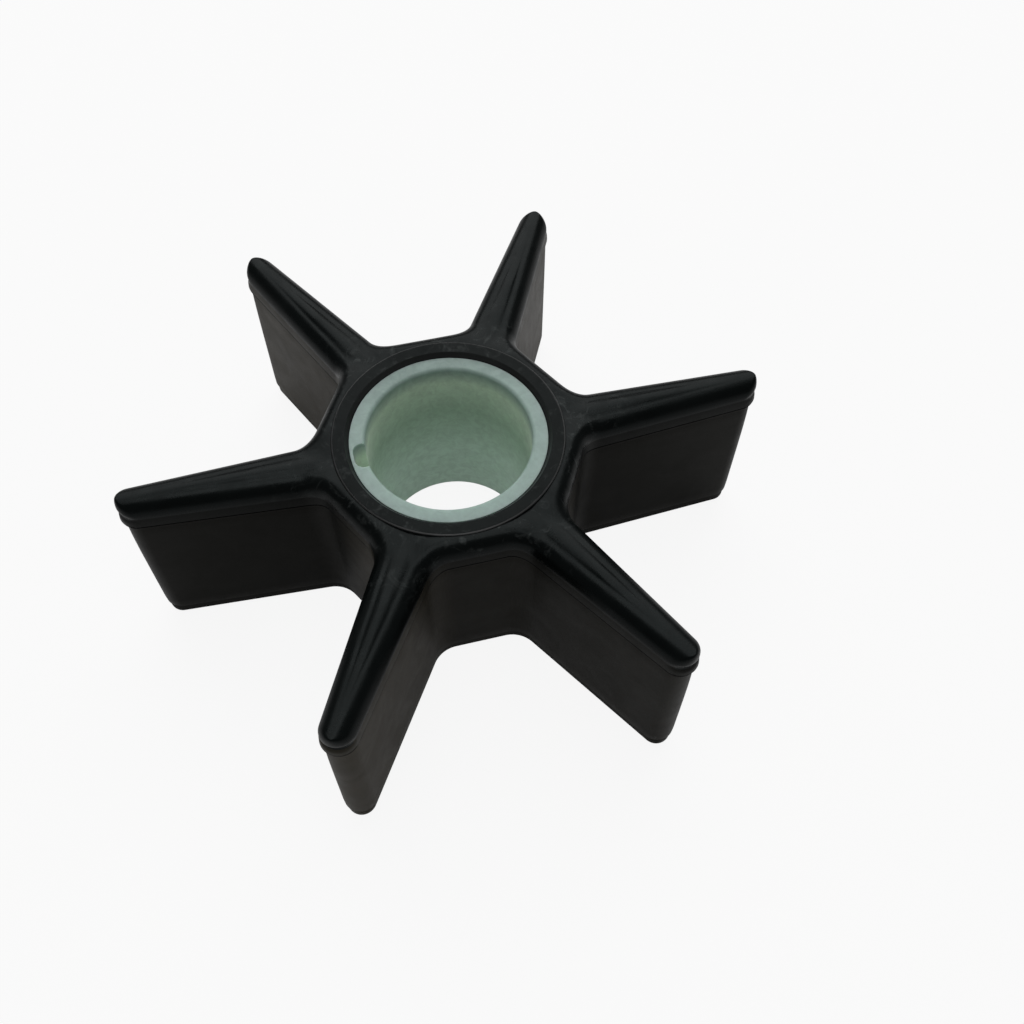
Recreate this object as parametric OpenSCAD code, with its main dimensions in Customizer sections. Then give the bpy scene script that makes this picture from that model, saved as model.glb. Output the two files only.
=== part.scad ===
/* [Vanes] */
// Number of vanes
vane_count = 6; // [4:1:8]
// Diameter over the vane tips, at the band
tip_d = 84; // [76:0.5:96]
// Height of the vanes at their tips
vane_h = 29; // [22:0.5:38]
// Thickness of a vane at its tip
tip_t = 4.6; // [4.4:0.1:6]
// Thickness of a vane where its flanks reach the hub walls
root_t = 7.2; // [5.5:0.1:8.5]
// Fillet between a flank and a hub wall
root_fillet = 3.8; // [2.5:0.1:6]
// How far a vane's tip reaches further at the foot than at the band
tip_lean = 0.7; // [0:0.1:0.8]

/* [Hub] */
// Distance of a flat hub wall from the opposite one
hub_w = 34; // [33.6:0.1:38]
// Diameter of the raised ring round the sleeve
ring_d = 29.9; // [28:0.1:30]
// Height of the raised ring above the crown at the hub walls
ring_rise = 0.15; // [0.1:0.05:1]
// Bevel on the outer edge of the raised ring
ring_bevel = 0.25; // [0.1:0.05:0.3]
// How far the raised ring falls inwards to the sleeve
ring_dish = 0.65; // [0.4:0.05:1]

/* [Crown] */
// How far the crown falls from the tips to the hub
crown_fall = 0.7; // [0.2:0.1:1.2]
// How far the crown swells upwards above each hub wall
crown_swell = 0.7; // [0:0.05:1.2]
// Depth of the parting line below the crown at the tips
parting_depth = 4.2; // [3.6:0.1:6]
// How far the parting line falls from the tips to the hub
parting_fall = 0.8; // [0.2:0.1:1.2]
// How far the parting line swells upwards on each hub wall
parting_swell = 1; // [0:0.05:1.2]
// How far the band above the parting line overhangs the flanks
parting_step = 0.15; // [0.1:0.05:0.4]
// Height of the band above the parting line
band_h = 2.4; // [1.6:0.1:3]
// How far the crown is set back from the band
crown_inset = 0.1; // [0.05:0.05:0.3]
// Width of the crown's shoulder along the flanks
crown_w = 2; // [1.2:0.05:2]
// Width of the crown's shoulder at the tips
crown_tip_w = 0.4; // [0.3:0.05:1.2]
// Form of the shoulder: 1 is a chamfer, 2 is round
crown_fullness = 1.6; // [1.2:0.05:2]
// How far the top of a vane is cambered between its shoulders where it meets the raised ring
camber = 0.3; // [0.1:0.05:0.5]

/* [Foot] */
// How much further out the flanks stand at the foot than under the band
draft = 0.15; // [0.05:0.05:0.3]
// Height of the foot, where the flanks step in above the lower edge
foot_h = 2.3; // [2:0.1:4]
// How far the foot steps in from the flanks
foot_step = 0.3; // [0.15:0.05:0.5]
// Rounding of the lower edge
foot_r = 1; // [0.6:0.1:1.5]
// Width of that rounding at the tips
foot_tip_r = 0.5; // [0.3:0.1:1.2]

/* [Sleeve] */
// Outer diameter of the sleeve, and of its seat in the moulding
sleeve_d = 25.4; // [24.8:0.1:27]
// Diameter of the bore
bore_d = 21.4; // [19:0.1:22.2]
// Chamfer at both ends of the bore
bore_chamfer = 0.55; // [0.2:0.05:0.8]
// Width of the keyway
keyway_w = 3.4; // [2.6:0.1:5]
// Radius in the corners of the keyway
keyway_corner = 1.2; // [0.3:0.1:1.25]
// Wall left between the keyway and the outside of the sleeve
keyway_wall = 0.4; // [0.3:0.05:0.8]
// Direction of the keyway
keyway_angle = 182; // [0:1:359]

/* [Hidden] */

rubber = "#1b1e1f";
glass_fibre = "#9db5ab";

// Steps in the arcs of the outline and of the profile
TIP_STEPS = 7;
FILLET_STEPS = 6;
FLANK_STEPS = 3;
FOOT_STEPS = 3;
CROWN_STEPS = 6;
CORNER_STEPS = 6;
// Half the height of the sloping ledge where the foot steps in
FOOT_LEDGE = 0.15;
// Least radius of the cambered top's end at a tip
LEAST_END = 0.1;
// Angles from a vane's middle line at which the lines from its tip, and those from its flanks, meet the ring
CREST_ANGLE = 4;
ROOT_ANGLE = 5.2;
// Angle at which the camber has died away there
CAMBER_ANGLE = 7;
// How far the top of the moulding reaches under the raised ring
RING_LAP = 0.3;
// Share of the raised ring's top that is flat
LAND_SHARE = 0.75;
// Depth of the ring's root inside the moulding
RING_ROOT = 1;
// How far a cutter runs past the face that it opens
EXTRA = 1;
SMOOTH = 96;

tip_r = tip_t / 2;
tip_x = tip_d / 2 - tip_r;
hub_r = hub_w / 2;
ring_r = ring_d / 2;
sleeve_r = sleeve_d / 2;
bore_r = bore_d / 2;
ring_h = vane_h - crown_fall + crown_swell + ring_rise;
sleeve_h = ring_h - ring_dish;
ring_land = LAND_SHARE * (ring_r - ring_bevel - sleeve_r);
parting_z = vane_h - parting_depth;
crown_h = parting_depth - band_h;
half_pitch = 180 / vane_count;

// A flank is a straight line that touches the tip's arc and is root_t / 2 from the middle at the hub wall.
// taper is its angle to the vane's middle line, and flank_gap its distance from the hub's axis.
flank_run = tip_x - hub_r;
taper = acos(tip_r / norm([root_t / 2, flank_run])) - atan2(flank_run, root_t / 2);
flank_side = [sin(taper), cos(taper)];
flank_gap = tip_x * flank_side.x + tip_r;

// The fillet's centre lies fillet_r off the flank and off the flat hub wall. In a narrow gap it is smaller.
wall_side = [cos(half_pitch), sin(half_pitch)];
meeting = sin(taper + half_pitch);
fillet_r = min(root_fillet, 0.95 * (hub_r * meeting - flank_gap) / (1 - meeting));
fillet_off = flank_gap + fillet_r;
fillet_along = (hub_r + fillet_r - fillet_off * meeting) / cos(taper + half_pitch);
fillet_c = fillet_off * flank_side + fillet_along * [flank_side.y, -flank_side.x];
fillet_end = fillet_c - fillet_r * wall_side;
fillet_angle = atan2(fillet_end.y, fillet_end.x);

// A thin tip limits the width of the crown's shoulder
tip_out = crown_w - crown_tip_w;
shoulder_w = min(crown_w, tip_r - crown_inset - tip_out * flank_side.x - LEAST_END);

// Points of the outline are [x, y, share], where share goes from 0 on a vane to 1 on a hub wall
function turned(p, a) = [p.x * cos(a) - p.y * sin(a), p.x * sin(a) + p.y * cos(a), p.z];
function mirrored(points) = [for (i = [len(points) - 1:-1:0]) [points[i].x, -points[i].y, points[i].z]];
function part_of(list, first, last) = [for (i = [first:last]) list[i]];
function arc(centre, r, from, to, steps) =
    [for (i = [0:steps]) centre + r * [cos(from + (to - from) * i / steps), sin(from + (to - from) * i / steps)]];
function between(a, b, steps) = [for (i = [1:1:steps - 1]) a + (b - a) * i / steps];
function eased(t) = t * t * (3 - 2 * t);
function radius(p) = norm([p.x, p.y]);

// Outline from the middle of a vane's tip to the middle of the gap beside it, set back by inset, with the tip
// shifted outwards by shift
function half_sector(inset, shift) =
    let (
        end_x = tip_x + shift,
        end_r = flank_gap - end_x * flank_side.x - inset,
        tip = arc([end_x, 0], end_r, 0, 90 - taper, TIP_STEPS),
        fillet = arc(fillet_c, fillet_r + inset, 270 - taper, 180 + half_pitch, FILLET_STEPS),
        wall = (hub_r - inset) * wall_side
    )
    concat(
        [for (p = concat(tip, between(tip[TIP_STEPS], fillet[0], FLANK_STEPS))) [p.x, p.y, 0]],
        [for (i = [0:FILLET_STEPS]) [fillet[i].x, fillet[i].y, eased(i / FILLET_STEPS)]],
        [[wall.x, wall.y, 1]]
    );

function all_round(half) =
    let (other = mirrored(half), sector = concat(part_of(other, 1, len(other) - 2), half))
    [for (i = [0:vane_count - 1]) for (p = sector) turned(p, i * 2 * half_pitch)];

// Height of a point on a face that falls evenly from the tips to the hub walls, and swells above them
function level(p, fall, swell, tip_z) =
    tip_z - fall * (tip_d / 2 - radius(p)) / (tip_d / 2 - hub_r) + swell * p.z;

// Side of the moulding from the lower edge up: inset, shift of the tips, fall to the hub, swell at the hub walls,
// height at the tips
wall_in = parting_step - draft;
foot_in = wall_in + foot_step;
profile = concat(
    [for (i = [0:FOOT_STEPS]) let (a = 90 - 90 * i / FOOT_STEPS, across = 1 - cos(a))
        [foot_in + foot_r * across, tip_lean + (foot_r - foot_tip_r) * across, 0, 0, foot_r * (1 - sin(a))]],
    [
        [foot_in, tip_lean, 0, 0, foot_h - FOOT_LEDGE],
        [wall_in, tip_lean, 0, 0, foot_h + FOOT_LEDGE],
        [parting_step, 0, parting_fall, parting_swell, parting_z],
        [0, 0, parting_fall, parting_swell, parting_z],
        [0, 0, (parting_fall + crown_fall) / 2, (parting_swell + crown_swell) / 2, parting_z + band_h / 2]
    ],
    [for (i = [0:CROWN_STEPS])
        let (
            a = 90 * i / CROWN_STEPS,
            across = 1 - pow(cos(a), 2 / crown_fullness),
            down = 1 - pow(sin(a), 2 / crown_fullness)
        )
        [crown_inset + shoulder_w * across, tip_out * across, crown_fall, crown_swell, vane_h - crown_h * down]]
);

// The top ends on a circle under the raised ring, and is cambered there between the shoulders of each vane
shares = [for (p = half_sector(0, 0)) p.z];
ring_angles = concat(
    [for (i = [0:TIP_STEPS]) CREST_ANGLE * i / TIP_STEPS],
    between(CREST_ANGLE, ROOT_ANGLE, FLANK_STEPS),
    [for (i = [0:FILLET_STEPS]) ROOT_ANGLE + (fillet_angle - ROOT_ANGLE) * i / FILLET_STEPS],
    [half_pitch]
);
top_end = all_round([for (i = [0:len(shares) - 1])
    let (
        a = ring_angles[i],
        q = (ring_r - RING_LAP) * [cos(a), sin(a)],
        lift = camber * max(0, 1 - pow(a / CAMBER_ANGLE, 2))
    )
    [q.x, q.y, level([q.x, q.y, shares[i]], crown_fall, crown_swell, vane_h) + lift]]);

// The outline lofted through the profile and the top, closed by a flat underside and a hollow under the ring
module star() {
    side_rows = [for (row = profile)
        [for (p = all_round(half_sector(row[0], row[1]))) [p.x, p.y, level(p, row[2], row[3], row[4])]]];
    rings = concat(side_rows, [top_end]);
    layers = len(rings);
    count = len(rings[0]);
    low = layers * count;
    high = low + 1;
    last = low - count;
    sides = [for (k = [0:layers - 2]) for (j = [0:count - 1])
        let (a = k * count + j, b = k * count + (j + 1) % count) each [[a, a + count, b + count], [a, b + count, b]]];
    floor_faces = [for (j = [0:count - 1]) [low, j, (j + 1) % count]];
    top_faces = [for (j = [0:count - 1]) [high, last + (j + 1) % count, last + j]];
    points = [for (ring = rings) each ring];
    polyhedron(
        concat(points, [[0, 0, 0], [0, 0, sleeve_h / 2]]),
        concat(sides, floor_faces, top_faces),
        convexity = 8
    );
}

// Raised ring round the top of the sleeve: bevelled outside, flat for ring_land, then falling to the sleeve
module ring() {
    rotate_extrude($fn = SMOOTH) polygon([
        [bore_r, sleeve_h - RING_ROOT],
        [ring_r, sleeve_h - RING_ROOT],
        [ring_r, ring_h - ring_bevel],
        [ring_r - ring_bevel, ring_h],
        [ring_r - ring_bevel - ring_land, ring_h],
        [sleeve_r, sleeve_h],
        [bore_r, sleeve_h]
    ]);
}

module vane_body() {
    color(rubber) difference() {
        union() {
            star();
            ring();
        }
        translate([0, 0, -EXTRA]) cylinder(r = sleeve_r, h = ring_h + 2 * EXTRA, $fn = SMOOTH);
    }
}

// Cutter for the bore with a chamfer at each end
module bore() {
    rotate_extrude($fn = SMOOTH) polygon([
        [0, -EXTRA],
        [bore_r + bore_chamfer + EXTRA, -EXTRA],
        [bore_r, bore_chamfer],
        [bore_r, sleeve_h - bore_chamfer],
        [bore_r + bore_chamfer + EXTRA, sleeve_h + EXTRA],
        [0, sleeve_h + EXTRA]
    ]);
}

// Cutter for the keyway, from inside the bore outwards, with round corners at its bottom
module keyway() {
    bottom = sleeve_r - keyway_wall;
    side = keyway_w / 2;
    corner = arc([bottom - keyway_corner, side - keyway_corner], keyway_corner, 0, 90, CORNER_STEPS);
    other = [for (i = [CORNER_STEPS:-1:0]) [corner[i].x, -corner[i].y]];
    rotate([0, 0, keyway_angle]) translate([0, 0, -EXTRA]) linear_extrude(sleeve_h + 2 * EXTRA)
        polygon(concat([[bore_r / 2, -side]], other, corner, [[bore_r / 2, side]]));
}

module hub_sleeve() {
    color(glass_fibre) difference() {
        cylinder(r = sleeve_r, h = sleeve_h, $fn = SMOOTH);
        bore();
        keyway();
    }
}

vane_body();
hub_sleeve();
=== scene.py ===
"""Looks of the pump impeller: rubber moulding, glass-fibre sleeve, floor, lights and camera."""

import math

import bmesh
import bpy
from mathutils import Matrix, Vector

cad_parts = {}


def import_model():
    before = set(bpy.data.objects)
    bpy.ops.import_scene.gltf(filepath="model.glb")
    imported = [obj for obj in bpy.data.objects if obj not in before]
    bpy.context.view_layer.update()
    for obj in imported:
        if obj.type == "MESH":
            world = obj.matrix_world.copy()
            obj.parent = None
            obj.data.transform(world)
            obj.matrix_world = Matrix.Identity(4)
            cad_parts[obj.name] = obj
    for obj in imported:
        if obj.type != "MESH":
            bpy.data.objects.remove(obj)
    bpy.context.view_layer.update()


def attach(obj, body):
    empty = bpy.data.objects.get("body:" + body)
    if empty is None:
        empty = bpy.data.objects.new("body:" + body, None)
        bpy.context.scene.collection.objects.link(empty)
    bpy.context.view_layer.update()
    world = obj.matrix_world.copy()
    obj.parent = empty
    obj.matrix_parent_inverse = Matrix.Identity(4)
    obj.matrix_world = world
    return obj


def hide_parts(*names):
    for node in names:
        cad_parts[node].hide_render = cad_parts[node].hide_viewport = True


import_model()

MM = 0.001

# Sizes of the moulding in millimetres, as in the part's source
VANES = 6
TIP_D = 84.0
VANE_H = 29.0
TIP_T = 4.6
ROOT_T = 7.2
ROOT_FILLET = 3.8
TIP_LEAN = 0.7
HUB_W = 34.0
RING_D = 29.9
RING_RISE = 0.15
RING_DISH = 0.65
LAND_SHARE = 0.75
RING_BEVEL = 0.25
FILLET_SHARE = 0.95
CROWN_FALL = 0.7
CROWN_SWELL = 0.7
PARTING_DEPTH = 4.2
PARTING_FALL = 0.8
PARTING_SWELL = 1.0
PARTING_STEP = 0.15
CROWN_INSET = 0.1
CROWN_W = 2.0
CROWN_TIP_W = 0.4
CAMBER = 0.3
DRAFT = 0.15
FOOT_H = 2.3
FOOT_STEP = 0.3

# Finer forms that the rigid solids leave to this script: a lower band, a rounder crown, a crisper foot
BAND_H = 1.9
CROWN_FULLNESS = 2.0
FOOT_R = 0.65
FOOT_TIP_R = 0.35
# Half width of a vane's top from which its camber is full
CAMBER_HALF = 1.8
# How far outside the ring the lines from a vane's tip stop following its middle
ROOT_RUN = 2.0
# The tips: pinched in between the band and the crown, with a lip at the band and the flank set in below it
TIP_NOTCH = 0.34
TIP_NOTCH_UP = 1.9
TIP_NOTCH_H = 0.5
TIP_LIP = 0.12
TIP_STEP = 0.2
TIP_STEP_POWER = 6
# The foot of the tips: pinched in above the foot, which bulges
FOOT_NOTCH = 0.2
FOOT_OUT = 0.12
FOOT_BULGE_DROP = 0.6
FOOT_NOTCH_DROP = 0.25
FOOT_NOTCH_RISE = 0.3
# Shares of that pinch that are gone at its lower and at its upper end
FOOT_NOTCH_LOW = 0.3
FOOT_NOTCH_HIGH = 0.7
# The ledge above the foot: half its height, and the bevel on both its edges
LEDGE_HALF = 0.08
LEDGE_BEVEL = 0.04
# The parting line: how far below it the plain wall ends and the groove, painted dark as shade, starts, and
# the groove's depth
WALL_END = 0.6
SEAM_DROP = 0.2
SEAM_IN = 0.04
# The band's lower edge: its inset, and how high it is painted dark as shade on the flanks and on the tips
BAND_EDGE = 0.05
SEAM_H = 0.32
TIP_SEAM_H = 0.42
# Shares of the tips' lip at the band's lower edge and at the top of its part painted dark as shade
LIP_LOW = 0.7
LIP_HIGH = 0.9
# Shares of the band's height at which the side has a row, and the height above which its tips are dark
BAND_SHARES = (0.3, 0.4, 0.5, 0.6, 0.68, 0.76, 0.84, 0.92)
TIP_DARK_UP = 1.5
# Share of a tip's radius, beyond the centre of its circle, at which the tip's own materials start
TIP_START = 0.35
# The ring: its edges inside the bevel, and where it meets the sleeve
BEVEL_MIDDLE = 0.3
LAND_EDGE = 0.2
LAND_FALL = 0.01
SEAT_W = 0.1
SEAT_H = 0.06

# Sizes of the sleeve in millimetres, as in the part's source
SLEEVE_D = 25.4
BORE_D = 21.4
BORE_CHAMFER = 0.55
KEYWAY_W = 3.4
KEYWAY_CORNER = 1.2
KEYWAY_WALL = 0.4
KEYWAY_ANGLE = 182.0
# Finer forms of the sleeve: its outer edge's bevel, and how the keyway widens with the bore's chamfer
RIM_H = 0.05
RIM_SHARE = 0.996
KEYWAY_GROWTH = 0.3

TIP_R = TIP_T / 2
TIP_X = TIP_D / 2 - TIP_R
HUB_R = HUB_W / 2
RING_R = RING_D / 2
SLEEVE_R = SLEEVE_D / 2
BORE_R = BORE_D / 2
RING_H = VANE_H - CROWN_FALL + CROWN_SWELL + RING_RISE
SLEEVE_H = RING_H - RING_DISH
RING_LAND = LAND_SHARE * (RING_R - RING_BEVEL - SLEEVE_R)
PARTING_Z = VANE_H - PARTING_DEPTH
HALF_PITCH = math.pi / VANES

# Least difference in height that tells two rows of the side apart
CLOSE = 0.01
# Points closer than this, in metres, are joined, and shorter edges are dissolved
JOINED = 2e-7
DISSOLVED = 1e-8
# Edges sharper than this many degrees are shaded sharp
SHARP = 28

# Steps of the moulding's mesh
TIP_STEPS = 16
FLANK_STEPS = 26
FILLET_STEPS = 18
HUB_STEPS = 8
ARC_STEPS = 10
WALL_STEPS = 14
CROWN_STEPS = 16
TOP_STEPS = 5

# Steps of the sleeve's contours
BORE_STEPS = 260
CORNER_STEPS = 8
SIDE_STEPS = 3
BOTTOM_STEPS = 6
EDGE_STEPS = 6

# Materials of the moulding by slot; the seam is painted dark as shade, and the edge lighter as a highlight
FLANK, CROWN, RING, SEAM_PAINTED_SHADE, EDGE_PAINTED_HIGHLIGHT, BAND = range(6)
# Rows of the raised ring's profile that are painted lighter as a highlight on its edges
EDGE_ROWS = (1, 2, 5)


def flank_and_fillet():
    """A flank's taper and distance from the axis, and its fillet's radius and centre, as in the source."""
    run = TIP_X - HUB_R
    half_root = ROOT_T / 2
    taper = math.acos(TIP_R / math.hypot(half_root, run)) - math.atan2(run, half_root)
    side = Vector((math.sin(taper), math.cos(taper)))
    gap = TIP_X * side.x + TIP_R
    reach = math.sin(taper + HALF_PITCH)
    radius = min(ROOT_FILLET, FILLET_SHARE * (HUB_R * reach - gap) / (1 - reach))
    off = gap + radius
    along = (HUB_R + radius - off * reach) / math.cos(taper + HALF_PITCH)
    centre = off * side + along * Vector((side.y, -side.x))
    return taper, gap, radius, centre


TAPER, FLANK_GAP, FILLET_R, FILLET_C = flank_and_fillet()
WALL_SIDE = Vector((math.cos(HALF_PITCH), math.sin(HALF_PITCH)))
FILLET_END = FILLET_C - FILLET_R * WALL_SIDE
FILLET_ANGLE = math.atan2(FILLET_END.y, FILLET_END.x)


def arc(centre, radius, start, end, steps):
    points = []
    for i in range(steps + 1):
        a = start + (end - start) * i / steps
        points.append(Vector((centre[0] + radius * math.cos(a), centre[1] + radius * math.sin(a))))
    return points


def half_sector(inset, tip_out):
    """Outline from the middle of a vane's tip to the middle of the gap beside it, set back by inset."""
    quarter = math.pi / 2
    tip_x = TIP_X + tip_out
    tip_r = FLANK_GAP - tip_x * math.sin(TAPER) - inset
    tip = arc((tip_x, 0), tip_r, 0, quarter - TAPER, TIP_STEPS)
    fillet = arc(FILLET_C, FILLET_R + inset, 3 * quarter - TAPER, HALF_PITCH + 2 * quarter, FILLET_STEPS)
    flank = [tip[-1].lerp(fillet[0], i / FLANK_STEPS) for i in range(1, FLANK_STEPS)]
    middle = WALL_SIDE * (HUB_R - inset)
    wall = [fillet[-1].lerp(middle, i / HUB_STEPS) for i in range(1, HUB_STEPS + 1)]
    return tip + flank + fillet + wall


def inner_half(radius, end_x):
    """Where half_sector's points end on the top or underside: on the vane's middle, then on a circle."""
    points = []
    root_x = radius + ROOT_RUN
    for i in range(TIP_STEPS + 1):
        points.append(Vector((end_x, 0)))
    for i in range(1, FLANK_STEPS + 1):
        points.append(Vector((end_x + (root_x - end_x) * i / FLANK_STEPS, 0)))
    straight = FILLET_STEPS // 3
    for i in range(1, straight + 1):
        points.append(Vector((root_x + (radius - root_x) * i / straight, 0)))
    turning = FILLET_STEPS - straight
    for i in range(1, turning + 1):
        a = FILLET_ANGLE * i / turning
        points.append(Vector((radius * math.cos(a), radius * math.sin(a))))
    for i in range(1, HUB_STEPS + 1):
        a = FILLET_ANGLE + (HALF_PITCH - FILLET_ANGLE) * i / HUB_STEPS
        points.append(Vector((radius * math.cos(a), radius * math.sin(a))))
    return points


def circle_half(radius):
    """The part of inner_half that lies on the circle."""
    on_circle = FILLET_STEPS - FILLET_STEPS // 3 + HUB_STEPS + 1
    return inner_half(radius, TIP_X)[-on_circle:]


def eased(t):
    return t * t * (3 - 2 * t)


def wall_shares():
    """For each point of half_sector, 0 on a vane and 1 on a hub wall."""
    on_vane = [0.0] * (TIP_STEPS + FLANK_STEPS)
    on_fillet = [eased(i / FILLET_STEPS) for i in range(FILLET_STEPS + 1)]
    return on_vane + on_fillet + [1.0] * HUB_STEPS


def around(half, mirror=lambda p: p, turn=lambda p, k: p):
    """Values for a half sector, mirrored and repeated for every vane."""
    other = [mirror(p) for p in reversed(half)]
    sector = other[1:-1] + half
    return [turn(p, k) for k in range(VANES) for p in sector]


def turned(p, k):
    c, s = math.cos(2 * HALF_PITCH * k), math.sin(2 * HALF_PITCH * k)
    return Vector((p.x * c - p.y * s, p.x * s + p.y * c))


def all_round(half):
    """A half sector mirrored and turned into a closed outline."""
    return around(half, lambda p: Vector((p.x, -p.y)), turned)


def level(p, share, fall, swell, tip_z):
    """Height on a face that falls evenly from the tips to the hub walls and swells above them."""
    return tip_z - fall * (TIP_D / 2 - p.length) / (TIP_D / 2 - HUB_R) + swell * share


def tip_notch(z):
    """How far a vane's tip is pinched in between the band and the crown, at a height."""
    return TIP_NOTCH * math.exp(-(((z - PARTING_Z - TIP_NOTCH_UP) / TIP_NOTCH_H) ** 2))


def side_profile():
    """Side of the moulding from the lower edge up.

    Each row holds the inset, the shift of the tips, the fall to the hub, the swell above the hub walls
    and the height at the tips.
    """
    quarter = math.pi / 2
    wall_in = PARTING_STEP - DRAFT
    foot_in = wall_in + FOOT_STEP
    rows = []
    for i in range(ARC_STEPS + 1):
        a = quarter * (1 - i / ARC_STEPS)
        across = 1 - math.cos(a)
        tip_out = TIP_LEAN + FOOT_OUT + (FOOT_R - FOOT_TIP_R) * across
        rows.append((foot_in + FOOT_R * across, tip_out, 0, 0, FOOT_R * (1 - math.sin(a))))
    pinched = TIP_LEAN - FOOT_NOTCH
    rows.append((foot_in, TIP_LEAN + FOOT_OUT, 0, 0, FOOT_H - FOOT_BULGE_DROP))
    rows.append((foot_in, pinched + FOOT_NOTCH * FOOT_NOTCH_LOW, 0, 0, FOOT_H - FOOT_NOTCH_DROP))
    rows.append((foot_in - LEDGE_BEVEL, pinched, 0, 0, FOOT_H - LEDGE_HALF))
    rows.append((wall_in + LEDGE_BEVEL, pinched, 0, 0, FOOT_H + LEDGE_HALF))
    rows.append((wall_in, pinched + FOOT_NOTCH * FOOT_NOTCH_HIGH, 0, 0, FOOT_H + FOOT_NOTCH_RISE))
    low = FOOT_H + FOOT_NOTCH_RISE
    high = PARTING_Z - WALL_END
    for i in range(1, WALL_STEPS + 1):
        t = i / WALL_STEPS
        z = low + (high - low) * t
        tip_out = TIP_LEAN * (1 - t) - TIP_STEP * t**TIP_STEP_POWER
        rows.append((wall_in + DRAFT * t, tip_out, PARTING_FALL * t, PARTING_SWELL * t, z))
    # The parting line: a fine seam under the overhanging band, painted dark as its shadow
    for inset, tip_out, up in (
        (PARTING_STEP + SEAM_IN, -TIP_STEP, -SEAM_DROP),
        (PARTING_STEP, -TIP_STEP, 0.0),
        (BAND_EDGE, TIP_LIP * LIP_LOW, 0.0),
        (0.0, TIP_LIP * LIP_HIGH, SEAM_H),
        (0.0, TIP_LIP, TIP_SEAM_H),
    ):
        rows.append((inset, tip_out, PARTING_FALL, PARTING_SWELL, PARTING_Z + up))
    for share in BAND_SHARES:
        fall = PARTING_FALL + (CROWN_FALL - PARTING_FALL) * share
        swell = PARTING_SWELL + (CROWN_SWELL - PARTING_SWELL) * share
        z = PARTING_Z + BAND_H * share
        tip_out = TIP_LIP * (1 - share) - tip_notch(z)
        rows.append((CROWN_INSET * share**2, tip_out, fall, swell, z))
    crown_h = PARTING_DEPTH - BAND_H
    power = 2 / CROWN_FULLNESS
    for i in range(CROWN_STEPS + 1):
        a = quarter * i / CROWN_STEPS
        across = 1 - math.cos(a) ** power
        z = VANE_H - crown_h * (1 - math.sin(a) ** power)
        tip_out = (CROWN_W - CROWN_TIP_W) * across - tip_notch(z) * (1 - across)
        rows.append((CROWN_INSET + CROWN_W * across, tip_out, CROWN_FALL, CROWN_SWELL, z))
    return rows


def make_mesh(name, points, faces, material_of):
    mesh = bpy.data.meshes.new(name)
    mesh.from_pydata([tuple(c * MM for c in p) for p in points], [], faces)
    mesh.update()
    piece = bpy.data.objects.new(name, mesh)
    bpy.context.scene.collection.objects.link(piece)
    for polygon, index in zip(mesh.polygons, material_of):
        polygon.material_index = index
        polygon.use_smooth = True
    return piece


def clean(piece):
    """Joins the points that meet and turns all the faces outwards."""
    bm = bmesh.new()
    bm.from_mesh(piece.data)
    bmesh.ops.remove_doubles(bm, verts=bm.verts, dist=JOINED)
    bmesh.ops.dissolve_degenerate(bm, edges=bm.edges, dist=DISSOLVED)
    bmesh.ops.recalc_face_normals(bm, faces=bm.faces)
    loose = [v for v in bm.verts if not v.link_faces]
    bmesh.ops.delete(bm, geom=loose, context="VERTS")
    bm.to_mesh(piece.data)
    bm.free()


def skin(rings, start=0, closed=False):
    """Faces between neighbouring rings of points; start is the number of the first point."""
    count = len(rings[0])
    faces = []
    for k in range(len(rings) if closed else len(rings) - 1):
        low = start + k * count
        high = start + (k + 1) % len(rings) * count
        for j in range(count):
            m = (j + 1) % count
            faces.append((low + j, low + m, high + m, high + j))
    return faces


def crown_edge():
    """Inner edge of the crown's shoulder, as a half sector."""
    return half_sector(CROWN_INSET + CROWN_W, CROWN_W - CROWN_TIP_W)


def crown_spine():
    """Where the top meets a vane's middle line and the raised ring, for each point of crown_edge."""
    return inner_half(RING_R, TIP_X + CROWN_W - CROWN_TIP_W)


def camber_half():
    """How far the middle of a vane's top stands above its shoulders, for each point of crown_edge."""
    lifts = []
    for p, q, share in zip(crown_edge(), crown_spine(), wall_shares()):
        width = min((p - q).length / CAMBER_HALF, 1.0)
        lifts.append(CAMBER * width**2 * (1 - share))
    return lifts


def side_slots(tip_z):
    """Materials on a vane's tip and on the rest of the side, above a row of side_profile."""
    up = tip_z - PARTING_Z
    if up < -SEAM_DROP - CLOSE:
        return FLANK, FLANK
    # From the groove up to the band's lower edge: painted dark as the shadow under the band
    if up < SEAM_H - CLOSE:
        return SEAM_PAINTED_SHADE, SEAM_PAINTED_SHADE
    if up < TIP_SEAM_H - CLOSE:
        return SEAM_PAINTED_SHADE, BAND
    if up < BAND_H - CLOSE:
        return (CROWN if up > TIP_DARK_UP else BAND), BAND
    return CROWN, CROWN


def side_rings():
    """Rings of points from the lower edge up to the crown's inner edge, and the materials above each."""
    shares = around(wall_shares())
    rings = []
    slots = []
    for inset, tip_out, fall, swell, tip_z in side_profile():
        edge = all_round(half_sector(inset, tip_out))
        rings.append([(p.x, p.y, level(p, share, fall, swell, tip_z)) for p, share in zip(edge, shares)])
        slots.append(side_slots(tip_z))
    return rings, slots


def top_rings():
    """Rings of points on the cambered top, in from the crown's inner edge to the middle and the ring."""
    edge, spine = all_round(crown_edge()), all_round(crown_spine())
    shares, camber = around(wall_shares()), around(camber_half())
    rings = []
    for k in range(1, TOP_STEPS + 1):
        t = k / TOP_STEPS
        ring = []
        for a, b, share, lift in zip(edge, spine, shares, camber):
            p = a.lerp(b, t)
            ring.append((p.x, p.y, level(p, share, CROWN_FALL, CROWN_SWELL, VANE_H) + lift * t * (2 - t)))
        rings.append(ring)
    return rings


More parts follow.
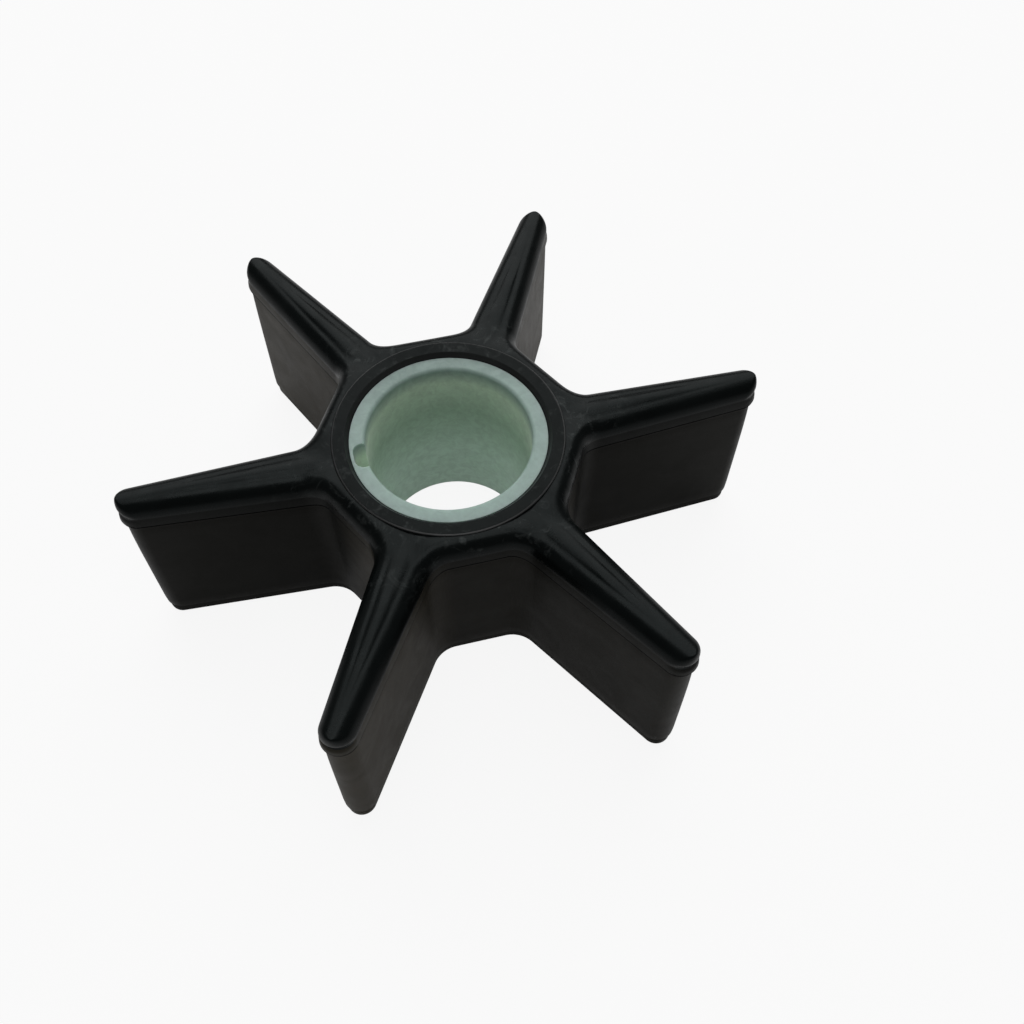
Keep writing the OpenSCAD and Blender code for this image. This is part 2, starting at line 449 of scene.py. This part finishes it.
def under_rings(foot):
    """Rings of points on the flat underside, from the sleeve out to the foot."""
    inner = all_round(inner_half(SLEEVE_R, TIP_X + TIP_LEAN))
    outer = [Vector(p[:2]) for p in foot]
    rings = []
    for k in range(TOP_STEPS, 0, -1):
        line = [a.lerp(b, k / TOP_STEPS) for a, b in zip(outer, inner)]
        rings.append([(p.x, p.y, 0.0) for p in line])
    return rings


def ring_profile():
    """Radius and height of the raised ring's edges from the outside in, and of the sleeve's seat down."""
    land_r = RING_R - RING_BEVEL
    return [
        (RING_R, RING_H - RING_BEVEL),
        (RING_R - RING_BEVEL * BEVEL_MIDDLE, RING_H - RING_BEVEL * BEVEL_MIDDLE),
        (land_r, RING_H),
        (land_r - LAND_EDGE, RING_H - LAND_FALL),
        (land_r - RING_LAND, RING_H - 2 * LAND_FALL),
        (SLEEVE_R + SEAT_W, SLEEVE_H),
        (SLEEVE_R, SLEEVE_H - SEAT_H),
        (SLEEVE_R, SLEEVE_H / 2),
        (SLEEVE_R, 0.0),
    ]


def turned_rings():
    """Rings of points of the raised ring and the seat. The first lies on the cambered top."""
    half = circle_half(RING_R)
    circle = all_round(half)
    shares = around(wall_shares()[-len(half):])
    camber = around(camber_half()[-len(half):])
    rings = [[]]
    for p, share, lift in zip(circle, shares, camber):
        rings[0].append((p.x, p.y, level(p, share, CROWN_FALL, CROWN_SWELL, VANE_H) + lift))
    for radius, z in ring_profile():
        rings.append([(p.x / p.length * radius, p.y / p.length * radius, z) for p in circle])
    return rings


def rubber_moulding():
    """The moulding as one mesh: underside, side and cambered top, then the raised ring and the seat."""
    side, slots = side_rings()
    under = under_rings(side[0])
    top = top_rings()
    body = under + side + top
    slots = [(FLANK, FLANK)] * len(under) + slots + [(CROWN, CROWN)] * len(top)
    tip_start = TIP_X + TIP_R * TIP_START
    material_of = []
    for ring, (on_tip, elsewhere) in zip(body[:-1], slots):
        material_of += [elsewhere if math.hypot(x, y) < tip_start else on_tip for x, y, _ in ring]
    turned_part = turned_rings()
    # The ring's edges are painted lighter as a highlight; the rest has the ring's own material
    for k in range(len(turned_part) - 1):
        material_of += [EDGE_PAINTED_HIGHLIGHT if k in EDGE_ROWS else RING] * len(turned_part[0])
    faces = skin(body) + skin(turned_part, start=len(body) * len(body[0]))
    points = [p for ring in body + turned_part for p in ring]
    piece = make_mesh("rubber_moulding", points, faces, material_of)
    clean(piece)
    return piece


def keyed_contour(grow):
    """Bore and keyway seen from above, widened by grow, with the keyway along +X."""
    radius = BORE_R + grow
    half = KEYWAY_W / 2 + grow * KEYWAY_GROWTH
    bottom = SLEEVE_R - KEYWAY_WALL
    corner_x = bottom - KEYWAY_CORNER
    edge = math.asin(half / radius)
    bore = arc((0, 0), radius, edge, 2 * math.pi - edge, BORE_STEPS)
    quarter = math.pi / 2
    lower = arc((corner_x, KEYWAY_CORNER - half), KEYWAY_CORNER, -quarter, 0, CORNER_STEPS)
    upper = arc((corner_x, half - KEYWAY_CORNER), KEYWAY_CORNER, 0, quarter, CORNER_STEPS)
    side_in = [bore[-1].lerp(lower[0], i / SIDE_STEPS) for i in range(1, SIDE_STEPS)]
    floor_line = [lower[-1].lerp(upper[0], i / BOTTOM_STEPS) for i in range(1, BOTTOM_STEPS)]
    side_out = [upper[-1].lerp(bore[0], i / SIDE_STEPS) for i in range(1, SIDE_STEPS)]
    return bore + side_in + lower + floor_line + upper + side_out


def sleeve():
    """The sleeve as one mesh, with its keyway turned to its place."""
    quarter = math.pi / 2
    inner = []
    for i in range(EDGE_STEPS, -1, -1):
        a = quarter * i / EDGE_STEPS
        inner.append((BORE_CHAMFER * (1 - math.cos(a)), SLEEVE_H - BORE_CHAMFER * (1 - math.sin(a))))
    inner += [(0.0, SLEEVE_H / 2), (0.0, BORE_CHAMFER), (BORE_CHAMFER, 0.0)]
    outer = [p.normalized() * SLEEVE_R for p in keyed_contour(0.0)]
    rings = [[(p.x, p.y, z) for p in outer] for z in (0.0, SLEEVE_H / 2, SLEEVE_H - RIM_H)]
    rings.append([(p.x * RIM_SHARE, p.y * RIM_SHARE, SLEEVE_H) for p in outer])
    for grow, z in inner:
        rings.append([(p.x, p.y, z) for p in keyed_contour(grow)])
    turn = math.radians(KEYWAY_ANGLE)
    c, s = math.cos(turn), math.sin(turn)
    points = [(x * c - y * s, x * s + y * c, z) for ring in rings for x, y, z in ring]
    faces = skin(rings, closed=True)
    piece = make_mesh("glass_fibre_sleeve", points, faces, [0] * len(faces))
    clean(piece)
    return piece


def sharpen(piece):
    """Marks the sharp edges, so that smooth shading stops there."""
    piece.data.set_sharp_from_angle(angle=math.radians(SHARP))


class Nodes:
    """A material's nodes, built by short calls; a value is a number, a colour or another node's output."""

    def __init__(self, name):
        self.material = bpy.data.materials.new(name)
        self.material.use_nodes = True
        self.tree = self.material.node_tree
        self.tree.nodes.clear()
        self.output = self.tree.nodes.new("ShaderNodeOutputMaterial")

    def add(self, kind, **values):
        """A node; names that start with an underscore are its settings, and the others its inputs."""
        made = self.tree.nodes.new("ShaderNode" + kind)
        for key, value in values.items():
            if key.startswith("_"):
                setattr(made, key[1:], value)
            else:
                made.inputs[key.replace("_", " ")].default_value = value
        return made

    def link(self, source, target):
        self.tree.links.new(source, target)

    def put(self, value, target):
        if isinstance(value, bpy.types.NodeSocket):
            self.link(value, target)
        else:
            target.default_value = value

    def place(self):
        """Coordinates of the piece itself, in metres."""
        return self.add("TexCoord").outputs["Object"]

    def number(self, operation, first, second=0.0, clamp=False):
        made = self.add("Math", _operation=operation, _use_clamp=clamp)
        self.put(first, made.inputs[0])
        self.put(second, made.inputs[1])
        return made.outputs["Value"]

    def vector(self, operation, first, second=(0, 0, 0)):
        made = self.add("VectorMath", _operation=operation)
        self.put(first, made.inputs[0])
        self.put(second, made.inputs[1])
        return made.outputs["Vector"]

    def length(self, vector):
        made = self.add("VectorMath", _operation="LENGTH")
        self.link(vector, made.inputs[0])
        return made.outputs["Value"]

    def parts(self, vector):
        made = self.add("SeparateXYZ")
        self.link(vector, made.inputs["Vector"])
        return made.outputs

    def noise(self, where, scale, detail, roughness, distortion=0.0):
        made = self.add("TexNoise", Scale=scale, Detail=detail, Roughness=roughness, Distortion=distortion)
        self.link(where, made.inputs["Vector"])
        return made.outputs["Fac"]

    def between(self, value, low, high, low_out=0, high_out=1):
        """A value mapped evenly from one range to another, and held at its ends."""
        made = self.add("MapRange", From_Min=low, From_Max=high, To_Min=low_out, To_Max=high_out)
        self.link(value, made.inputs["Value"])
        return made.outputs["Result"]

    def colours(self, value, *stops):
        """A colour ramp; each stop holds a place and a colour."""
        made = self.add("ValToRGB")
        ramp = made.color_ramp
        while len(ramp.elements) < len(stops):
            ramp.elements.new(0.5)
        for element, (place, colour) in zip(ramp.elements, stops):
            element.position = place
            element.color = (*colour, 1)
        self.link(value, made.inputs["Fac"])
        return made.outputs["Color"]

    def mixed(self, share, first, second, blend="MIX"):
        """A colour that goes from one to another by a share."""
        made = self.add("Mix", _data_type="RGBA", _blend_type=blend)
        self.put(share, made.inputs["Factor"])
        self.link(first, made.inputs[6])
        self.link(second, made.inputs[7])
        return made.outputs[2]

    def bump(self, height, strength, distance, under=None):
        """A bumpy normal, on top of another where one is given; distance is in metres."""
        made = self.add("Bump", Strength=strength, Distance=distance)
        self.link(height, made.inputs["Height"])
        if under:
            self.link(under, made.inputs["Normal"])
        return made.outputs["Normal"]


# Scales of the rubber's patterns, in 1/m, and heights in metres
CLOUD_SCALE = 160
PATCH_SCALE = 240
GRAIN_SCALE = 5200
GRAIN_H = 0.00004
PAINTED_LIGHT_SCALE = 120
SCUFF_SCALE = 380
SCRATCH_SCALE = 900
# Flow marks on the crown: how often they change round the axis and away from it, and their height
FLOW_ROUND = 14
FLOW_ALONG = 90
FLOW_H = 0.00006
# Where the painted light on the flanks starts and is full, away from the X axis, in metres
PAINTED_LIGHT_Y = (0.006, 0.012)
# Where the vane between +X and -Y is left in painted shade, in metres, and the share of the painted light
# that it lacks
SHADED_VANE_X = (-0.0085, -0.003)
SHADED_VANE_Y = (-0.008, -0.013)
SHADED_VANE_SHARE = 0.84
# Distance from the axis up to which the scuffs are full, and at which they end, in metres
SCUFF_REACH = (0.017, 0.026)

# Colours of the painted light on the flanks and on the band, lighter and warm as light reflected onto them,
# and of the scuffs round the ring
WARM_PAINTED_LIGHT = ((0.034, 0.0295, 0.0205), (0.052, 0.0450, 0.0325))
FAINT_WARM_PAINTED_LIGHT = ((0.026, 0.0230, 0.0165), (0.042, 0.0375, 0.0270))
PALE_GREY = ((0.011, 0.0125, 0.0125), (0.048, 0.0530, 0.0520))
# Tints of the gloss
COOL = (0.9, 1, 1)
NEUTRAL = (1, 1, 1)
WARM = (1, 0.88, 0.74)
FAINTLY_WARM = (0.97, 0.98, 0.9)


def along_the_vanes(n, where):
    """Coordinates that change fast round the axis and slowly away from it, for streaks along the vanes."""
    flat = n.vector("MULTIPLY", where, (1, 1, 0))
    turn = n.vector("NORMALIZE", flat)
    spread = n.vector("MULTIPLY", turn, (FLOW_ROUND, FLOW_ROUND, FLOW_ROUND))
    lifted = n.add("CombineXYZ")
    n.link(n.number("MULTIPLY", n.length(flat), FLOW_ALONG), lifted.inputs["Z"])
    return n.vector("ADD", spread, lifted.outputs["Vector"])


def painted_light_share(n, where):
    """How much painted light lightens the rubber, as light reflected onto the flanks: not on the vanes along
    the X axis, and little on the one between +X and -Y, which is left in painted shade.
    """
    parts = n.parts(where)
    slanting = n.between(n.number("ABSOLUTE", parts["Y"]), *PAINTED_LIGHT_Y)
    shaded_vane = n.number("MULTIPLY", n.between(parts["X"], *SHADED_VANE_X), n.between(parts["Y"], *SHADED_VANE_Y))
    return n.number("SUBTRACT", slanting, n.number("MULTIPLY", shaded_vane, SHADED_VANE_SHARE), clamp=True)


def scuff_share(n, where):
    """Where the rubber is scuffed pale: in patches, round the raised ring and on the roots of the vanes."""
    reach = n.length(n.vector("MULTIPLY", where, (1, 1, 0)))
    near_hub = n.between(reach, *SCUFF_REACH, 1, 0)
    patches = n.noise(where, SCUFF_SCALE, detail=5.0, roughness=0.68, distortion=1.6)
    return n.number("MULTIPLY", near_hub, n.between(patches, 0.54, 0.73))


def rubber(name, colours, rough, specular, tint, grain, flow=0.0, painted_light=None, scuffs=None):
    """Black rubber that varies between two colours and two roughnesses.

    Tint colours its gloss, grain is the strength of its fine bumps, and flow is the height of its flow marks
    in metres. Painted light and scuffs each hold two colours: painted light is a lighter, warm colour
    standing in for light reflected onto the rubber, and scuffs lie on it.
    """
    n = Nodes(name)
    where = n.place()
    shader = n.add("BsdfPrincipled", Specular_IOR_Level=specular, Specular_Tint=(*tint, 1))
    cloud = n.noise(where, CLOUD_SCALE, detail=3.0, roughness=0.55, distortion=0.4)
    base = n.colours(cloud, (0.35, colours[0]), (0.68, colours[1]))
    # Painted light: a lighter, warm colour where the flanks would catch light reflected from the floor
    if painted_light:
        light_patches = n.noise(where, PAINTED_LIGHT_SCALE, detail=4.0, roughness=0.6, distortion=0.6)
        warm_light = n.colours(light_patches, (0.3, painted_light[0]), (0.7, painted_light[1]))
        base = n.mixed(painted_light_share(n, where), base, warm_light)
    if scuffs:
        scratches = n.noise(where, SCRATCH_SCALE, detail=3.0, roughness=0.6, distortion=0.5)
        pale = n.colours(scratches, (0.35, scuffs[0]), (0.65, scuffs[1]))
        base = n.mixed(scuff_share(n, where), base, pale)
    n.link(base, shader.inputs["Base Color"])
    patches = n.noise(where, PATCH_SCALE, detail=4.0, roughness=0.6, distortion=0.8)
    n.link(n.between(patches, 0.32, 0.68, *rough), shader.inputs["Roughness"])
    waves = None
    if flow:
        marks = n.noise(along_the_vanes(n, where), scale=1.0, detail=2.0, roughness=0.5, distortion=0.3)
        waves = n.bump(marks, strength=1.0, distance=flow)
    fine = n.noise(where, GRAIN_SCALE, detail=3.0, roughness=0.6)
    n.link(n.bump(fine, grain, GRAIN_H, under=waves), shader.inputs["Normal"])
    n.link(shader.outputs["BSDF"], n.output.inputs["Surface"])
    return n.material


def rubbers():
    """The moulding's materials, in the order of its slots."""
    return (
        # The flank, with painted light on the slanting vanes
        rubber(
            "rubber_flank", rough=(0.34, 0.42),
            colours=((0.0036, 0.0042, 0.0032), (0.0054, 0.0060, 0.0046)),
            specular=0.06, tint=WARM, grain=0.4, painted_light=WARM_PAINTED_LIGHT,
        ),
        rubber(
            "rubber_crown", rough=(0.22, 0.38),
            colours=((0.0018, 0.0026, 0.0026), (0.0030, 0.0041, 0.0041)),
            specular=0.12, tint=COOL, grain=0.3, flow=FLOW_H, scuffs=PALE_GREY,
        ),
        rubber(
            "rubber_ring", rough=(0.34, 0.48),
            colours=((0.0024, 0.0032, 0.0031), (0.0040, 0.0050, 0.0048)),
            specular=0.09, tint=COOL, grain=0.5, scuffs=PALE_GREY,
        ),
        # The seam, painted near black as the shadow under the band
        rubber(
            "rubber_seam_painted_shade", rough=(0.80, 0.90),
            colours=((0.0008, 0.0008, 0.0008), (0.0014, 0.0014, 0.0014)),
            specular=0.02, tint=NEUTRAL, grain=0.2,
        ),
        # The ring's edges, painted lighter as a highlight, with more gloss
        rubber(
            "rubber_edge_painted_highlight", rough=(0.30, 0.42),
            colours=((0.0082, 0.0090, 0.0090), (0.0130, 0.0145, 0.0145)),
            specular=0.35, tint=NEUTRAL, grain=0.3,
        ),
        # The band, with fainter painted light
        rubber(
            "rubber_band", rough=(0.30, 0.40),
            colours=((0.0024, 0.0032, 0.0031), (0.0036, 0.0046, 0.0045)),
            specular=0.07, tint=FAINTLY_WARM, grain=0.4, painted_light=FAINT_WARM_PAINTED_LIGHT,
        ),
    )


# Colours of the sleeve by height: at the lower end, paler as painted light; half way up; below the upper rim,
# a painted glow; and on the rim
SLEEVE_LOW_PAINTED_LIGHT = (0.84, 0.99, 0.90)
SLEEVE_MIDDLE = (0.55, 0.70, 0.58)
SLEEVE_PAINTED_GLOW = (0.82, 0.97, 0.80)
SLEEVE_RIM = (0.38, 0.50, 0.46)
# Scales of the sleeve's patterns in 1/m; height of its weave and start of its darker back in metres
MOTTLE_SCALE = 900
WEAVE_SCALE = 2600
WEAVE_H = 0.00005
DARKER_BACK_Y = 0.004


def greys(n, value, dark, light):
    """A grey that goes from dark to light with the sleeve's mottle."""
    return n.colours(value, (0.36, (dark, dark, dark)), (0.62, (light, light, light)))


def glass_fibre():
    """Pale green sleeve, greyer on its cut rim, paler towards the lower end as painted light, with a painted
    glow below the rim, and darker at the back.
    """
    n = Nodes("glass_fibre")
    where = n.place()
    shader = n.add(
        "BsdfPrincipled", Subsurface_Weight=0.5, Subsurface_Radius=(0.8, 1.0, 0.8), Subsurface_Scale=0.0016,
        Specular_IOR_Level=0.3,
    )
    mottle = n.noise(where, MOTTLE_SCALE, detail=5.0, roughness=0.65, distortion=0.6)
    parts = n.parts(where)
    height = n.between(parts["Z"], 0, SLEEVE_H * MM)
    # Paler towards the lower end and below the rim: painted light and a painted glow
    pale = n.colours(
        height, (0.36, SLEEVE_LOW_PAINTED_LIGHT), (0.68, SLEEVE_MIDDLE), (0.90, SLEEVE_PAINTED_GLOW), (0.985, SLEEVE_RIM)
    )
    # Darker towards the back
    back = n.between(parts["Y"], DARKER_BACK_Y, BORE_R * MM)
    darker_back = n.mixed(back, greys(n, mottle, 0.88, 1), greys(n, mottle, 0.70, 0.84))
    n.link(n.mixed(1.0, pale, darker_back, blend="MULTIPLY"), shader.inputs["Base Color"])
    n.link(n.between(mottle, 0.3, 0.7, 0.6, 0.46), shader.inputs["Roughness"])
    weave = n.noise(where, WEAVE_SCALE, detail=4.0, roughness=0.6)
    n.link(n.bump(weave, strength=0.35, distance=WEAVE_H), shader.inputs["Normal"])
    n.link(shader.outputs["BSDF"], n.output.inputs["Surface"])
    return n.material


# Floor: pale under the lights, and lifted to white for the camera with the object's shadow kept
FLOOR_HALF = 2.5
FLOOR_Z = -0.0001
FLOOR_GREY = 0.8
FLOOR_WHITE = 0.9
FLOOR_GLOSS = 0.12


def white_share(n):
    """How white the floor is made: most for the camera, less in gloss, and 0 for the light on the object."""
    path = n.add("LightPath").outputs
    gloss = n.number("MULTIPLY", path["Is Glossy Ray"], FLOOR_GLOSS / FLOOR_WHITE)
    seen = n.number("MAXIMUM", path["Is Camera Ray"], gloss)
    seen = n.number("MAXIMUM", seen, path["Is Transmission Ray"])
    return n.number("MULTIPLY", seen, FLOOR_WHITE)


def floor_material():
    n = Nodes("floor")
    lit = n.add("BsdfDiffuse", Color=(FLOOR_GREY, FLOOR_GREY, FLOOR_GREY, 1))
    white = n.add("Emission", Color=(1, 1, 1, 1), Strength=1.0)
    mixed = n.add("MixShader")
    n.link(white_share(n), mixed.inputs["Fac"])
    n.link(lit.outputs["BSDF"], mixed.inputs[1])
    n.link(white.outputs["Emission"], mixed.inputs[2])
    n.link(mixed.outputs["Shader"], n.output.inputs["Surface"])
    return n.material


def floor():
    corners = [(-1, -1), (1, -1), (1, 1), (-1, 1)]
    mesh = bpy.data.meshes.new("floor")
    mesh.from_pydata([(x * FLOOR_HALF, y * FLOOR_HALF, FLOOR_Z) for x, y in corners], [], [(0, 1, 2, 3)])
    made = bpy.data.objects.new("floor", mesh)
    bpy.context.scene.collection.objects.link(made)
    made.data.materials.append(floor_material())


# Lights: a dim white world and two softboxes that aim at the object
WORLD_LEVEL = 0.16
AIM = (0, 0, 0.02)


def softbox(name, place, size, watts):
    light = bpy.data.lights.new(name, "AREA")
    light.shape = "RECTANGLE"
    light.size, light.size_y = size
    light.energy = watts
    made = bpy.data.objects.new(name, light)
    bpy.context.scene.collection.objects.link(made)
    made.location = place
    made.rotation_euler = (Vector(AIM) - Vector(place)).to_track_quat("-Z", "Y").to_euler()


def world():
    made = bpy.data.worlds.new("studio")
    bpy.context.scene.world = made
    made.use_nodes = True
    background = made.node_tree.nodes["Background"]
    background.inputs["Color"].default_value = (1, 1, 1, 1)
    background.inputs["Strength"].default_value = WORLD_LEVEL


# Camera: fitted to the photograph; place in metres, turn in degrees, lens and sensor in millimetres
CAMERA_PLACE = (-0.011209, -0.072882, 0.13471)
CAMERA_TURN = (30.2463, -0.8584, -13.9052)
LENS = 35.48
SENSOR = 36.0
SHIFT = (-0.0013, 0.0023)
CLIP_START = 0.01


def camera():
    data = bpy.data.cameras.new("camera")
    data.sensor_width = SENSOR
    data.lens = LENS
    data.shift_x, data.shift_y = SHIFT
    data.clip_start = CLIP_START
    made = bpy.data.objects.new("camera", data)
    bpy.context.scene.collection.objects.link(made)
    made.location = CAMERA_PLACE
    made.rotation_euler = [math.radians(a) for a in CAMERA_TURN]
    bpy.context.scene.camera = made


bpy.context.scene.view_settings.view_transform = "Standard"
camera()

moulding = rubber_moulding()
for made in rubbers():
    moulding.data.materials.append(made)
sharpen(moulding)
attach(moulding, "root")
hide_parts("vane_body")

liner = sleeve()
liner.data.materials.append(glass_fibre())
sharpen(liner)
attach(liner, "root")
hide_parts("hub_sleeve")

floor()
world()
softbox("back_softbox", place=(0.2, 0.85, 0.98), size=(1.5, 1.1), watts=10)
softbox("top_softbox", place=(0.0, 0.0, 1.2), size=(0.7, 0.7), watts=3.2)
